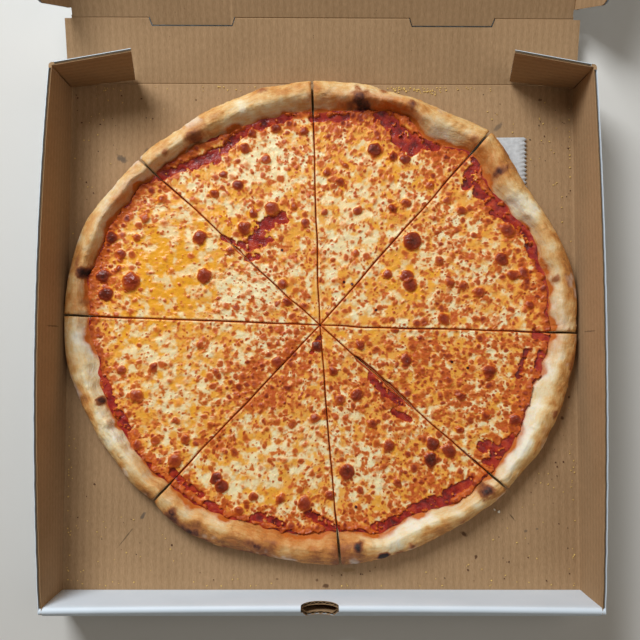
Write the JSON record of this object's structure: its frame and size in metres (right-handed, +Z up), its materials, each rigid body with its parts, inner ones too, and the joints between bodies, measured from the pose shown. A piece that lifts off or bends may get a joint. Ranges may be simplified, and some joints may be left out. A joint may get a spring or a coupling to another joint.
{
  "type": "pizza in its box",
  "caption": "Round cheese pizza cut into slices, in an open corrugated box with a hinged back wall, lid and flaps.",
  "frame": {"origin": "centre of the tray's flat underside", "axes": "+Z up, +Y from the tray's front wall towards the lid, +X to the right seen from the front"},
  "size_m": [0.4848, 0.9148, 0.2691],
  "materials": {
    "kraft_board": "matte",
    "deli_paper": "matte",
    "baked_crust": "matte",
    "tomato_sauce": "satin",
    "melted_cheese": "satin"
  },
  "bodies": {
    "tray": {"tray": "kraft_board", "paper": "deli_paper", "crust_right_back": "baked_crust", "crust_back_right": "baked_crust", "crust_back_left": "baked_crust", "crust_left_back": "baked_crust", "crust_left_front": "baked_crust", "crust_front_left": "baked_crust", "crust_front_right": "baked_crust", "crust_right_front": "baked_crust", "sauce_right_back": "tomato_sauce", "sauce_back_right": "tomato_sauce", "sauce_back_left": "tomato_sauce", "sauce_left_back": "tomato_sauce", "sauce_left_front": "tomato_sauce", "sauce_front_left": "tomato_sauce", "sauce_front_right": "tomato_sauce", "sauce_right_front": "tomato_sauce", "cheese_right_back": "melted_cheese", "cheese_back_right": "melted_cheese", "cheese_back_left": "melted_cheese", "cheese_left_back": "melted_cheese", "cheese_left_front": "melted_cheese", "cheese_front_left": "melted_cheese", "cheese_front_right": "melted_cheese", "cheese_right_front": "melted_cheese"},
    "back_wall": {"back_wall": "kraft_board"},
    "lid": {"lid": "kraft_board", "lid_tab_left": "kraft_board", "lid_tab_right": "kraft_board"},
    "lid_flap_left": {"lid_flap_left": "kraft_board"},
    "lid_flap_right": {"lid_flap_right": "kraft_board"},
    "lid_flap_front": {"lid_flap_front": "kraft_board"},
    "dust_flap_left": {"dust_flap_left": "kraft_board"},
    "dust_flap_right": {"dust_flap_right": "kraft_board"}
  },
  "joints": [
    {"name": "back_crease", "type": "hinge", "parent": "tray", "child": "back_wall", "pos_m": [0, 0.2286, 0.003], "axis": [1, 0, 0], "range_deg": [-15, 75]},
    {"name": "lid_crease", "type": "hinge", "parent": "back_wall", "child": "lid", "pos_m": [0, 0.28366, 0.01775], "axis": [1, 0, 0], "range_deg": [-13, 77]},
    {"name": "left_flap_crease", "type": "hinge", "parent": "lid", "child": "lid_flap_left", "pos_m": [-0.2252, 0.28366, 0.01775], "axis": [0, 0.8829, 0.4695], "range_deg": [-70, 23]},
    {"name": "right_flap_crease", "type": "hinge", "parent": "lid", "child": "lid_flap_right", "pos_m": [0.2252, 0.28366, 0.01775], "axis": [0, -0.8829, -0.4695], "range_deg": [-70, 23]},
    {"name": "front_flap_crease", "type": "hinge", "parent": "lid", "child": "lid_flap_front", "pos_m": [0, 0.67745, 0.22714], "axis": [1, 0, 0], "range_deg": [-70, 23]},
    {"name": "left_dust_crease", "type": "hinge", "parent": "tray", "child": "dust_flap_left", "pos_m": [-0.2285, 0.2246, 0.003], "axis": [0, 0, -1], "range_deg": [-2.4, 11]},
    {"name": "right_dust_crease", "type": "hinge", "parent": "tray", "child": "dust_flap_right", "pos_m": [0.2285, 0.2246, 0.003], "axis": [0, 0, 1], "range_deg": [-2.4, 11]}
  ],
  "couplings": [
    {"joint": "left_dust_crease", "follows": "back_crease", "ratio": 0.144},
    {"joint": "right_dust_crease", "follows": "back_crease", "ratio": 0.144}
  ]
}
